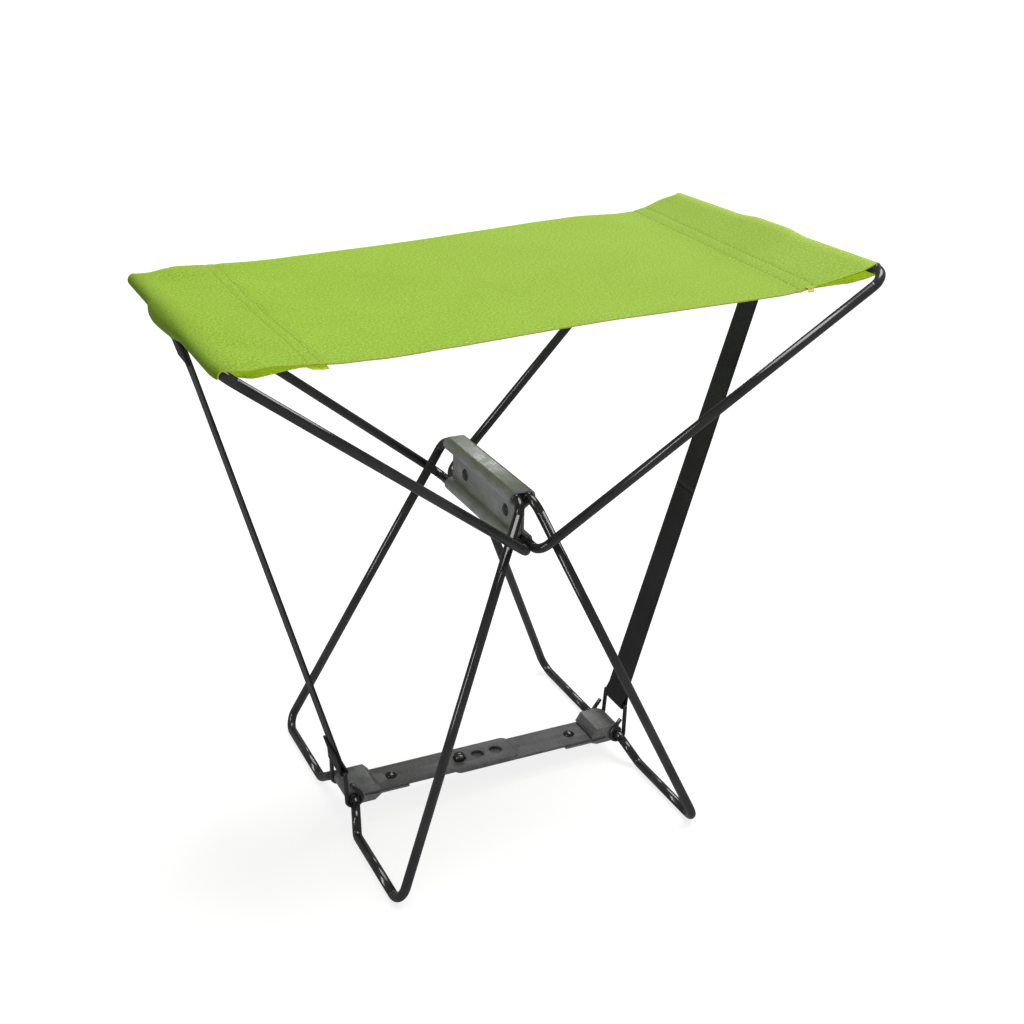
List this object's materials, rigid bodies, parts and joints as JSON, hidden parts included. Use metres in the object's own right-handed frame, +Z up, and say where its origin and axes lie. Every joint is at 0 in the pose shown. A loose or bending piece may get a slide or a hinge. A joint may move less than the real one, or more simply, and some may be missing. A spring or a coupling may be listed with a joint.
{
  "type": "folding camp stool",
  "caption": "Low folding camp stool: bent wire legs and seat frames hinged in a sheet clamp, green fabric seat, webbing straps and a locking brace between the legs.",
  "frame": {"origin": "on the floor, midway between the two legs and below the clamp", "axes": "+Z up, +X along the seat towards its higher end, +Y across the seat towards the back"},
  "size_m": [0.3357, 0.1996, 0.3081],
  "materials": {
    "wire": "gloss black lacquer on round steel wire",
    "clamp_sheet": "satin dark grey coated sheet steel",
    "bracket_sheet": "satin dark grey coated sheet steel",
    "brace_sheet": "satin mid grey coated sheet steel",
    "rivets": "gloss black steel rivet",
    "ring_wire": "black thin steel wire",
    "webbing": "black woven webbing",
    "seat_fabric": "bright green plain woven polyester"
  },
  "bodies": {
    "clamp": {"clamp": "clamp_sheet", "clamp_rivets": "rivets"},
    "left_leg": {"left_leg": "wire"},
    "right_leg": {"right_leg": "wire"},
    "left_seat_frame": {"left_seat_frame": "wire"},
    "right_seat_frame": {"right_seat_frame": "wire"},
    "left_brace": {"left_bracket": "bracket_sheet", "left_strip": "brace_sheet", "left_brace_rivet": "rivets"},
    "right_brace": {"right_bracket": "bracket_sheet", "right_strip": "brace_sheet", "right_brace_rivet": "rivets", "brace_peg": "rivets"},
    "left_ring": {"left_ring": "ring_wire", "left_strap_lower": "webbing"},
    "right_ring": {"right_ring": "ring_wire", "right_strap_lower": "webbing"},
    "left_strap": {"left_strap_upper": "webbing"},
    "right_strap": {"right_strap_upper": "webbing"},
    "left_seat": {"left_seat_fabric": "seat_fabric"},
    "right_seat": {"right_seat_fabric": "seat_fabric"}
  },
  "joints": [
    {"name": "left_leg_fold", "type": "hinge", "parent": "clamp", "child": "left_leg", "pos_m": [-0.0035, 0, 0.18996], "axis": [0, 1, 0], "range_deg": [0, 150.9], "deforming": ["left_strap_upper", "left_strap_lower", "right_strap_upper", "right_strap_lower", "left_seat_fabric", "right_seat_fabric"]},
    {"name": "right_leg_fold", "type": "hinge", "parent": "clamp", "child": "right_leg", "pos_m": [0.0035, 0, 0.18996], "axis": [0, -1, 0], "range_deg": [0, 150.9]},
    {"name": "left_seat_frame_fold", "type": "hinge", "parent": "clamp", "child": "left_seat_frame", "pos_m": [-0.0026, 0, 0.16596], "axis": [0, 1, 0], "range_deg": [0, 50.4]},
    {"name": "right_seat_frame_fold", "type": "hinge", "parent": "clamp", "child": "right_seat_frame", "pos_m": [0.0026, 0, 0.16596], "axis": [0, -1, 0], "range_deg": [0, 48]},
    {"name": "left_seat_hang", "type": "hinge", "parent": "left_seat_frame", "child": "left_seat", "pos_m": [-0.15947, 0, 0.28677], "axis": [0, 1, 0], "range_deg": [0, 40.77]},
    {"name": "right_seat_hang", "type": "hinge", "parent": "right_seat_frame", "child": "right_seat", "pos_m": [0.16577, 0, 0.30287], "axis": [0, -1, 0], "range_deg": [0, 37.47]},
    {"name": "left_strap_hang", "type": "hinge", "parent": "left_seat_frame", "child": "left_strap", "pos_m": [-0.15947, 0, 0.28677], "axis": [0, -1, 0], "range_deg": [0, 32.41]},
    {"name": "right_strap_hang", "type": "hinge", "parent": "right_seat_frame", "child": "right_strap", "pos_m": [0.16577, 0, 0.30287], "axis": [0, 1, 0], "range_deg": [0, 29.74]},
    {"name": "left_ring_swing", "type": "hinge", "parent": "left_leg", "child": "left_ring", "pos_m": [-0.082, 0, 0.01364], "axis": [0, 1, 0], "range_deg": [0, 42.6]},
    {"name": "right_ring_swing", "type": "hinge", "parent": "right_leg", "child": "right_ring", "pos_m": [0.082, 0, 0.01364], "axis": [0, -1, 0], "range_deg": [0, 43.31]},
    {"name": "left_brace_lift", "type": "hinge", "parent": "left_leg", "child": "left_brace", "pos_m": [-0.082, 0, 0.01364], "axis": [0, -1, 0], "range_deg": [0, 42]},
    {"name": "right_brace_lift", "type": "hinge", "parent": "right_leg", "child": "right_brace", "pos_m": [0.082, 0, 0.01364], "axis": [0, 1, 0], "range_deg": [0, 12.6]}
  ],
  "couplings": [
    {"joint": "right_leg_fold", "follows": "left_leg_fold", "ratio": 1},
    {"joint": "left_seat_frame_fold", "follows": "left_leg_fold", "ratio": 0.334},
    {"joint": "right_seat_frame_fold", "follows": "left_leg_fold", "ratio": 0.31809},
    {"joint": "left_seat_hang", "follows": "left_leg_fold", "ratio": 0.27019},
    {"joint": "right_seat_hang", "follows": "left_leg_fold", "ratio": 0.24832},
    {"joint": "left_strap_hang", "follows": "left_leg_fold", "ratio": 0.21478},
    {"joint": "right_strap_hang", "follows": "left_leg_fold", "ratio": 0.19711},
    {"joint": "left_ring_swing", "follows": "left_leg_fold", "ratio": 0.28231},
    {"joint": "right_ring_swing", "follows": "left_leg_fold", "ratio": 0.28702},
    {"joint": "right_brace_lift", "follows": "left_brace_lift", "ratio": 0.3}
  ]
}
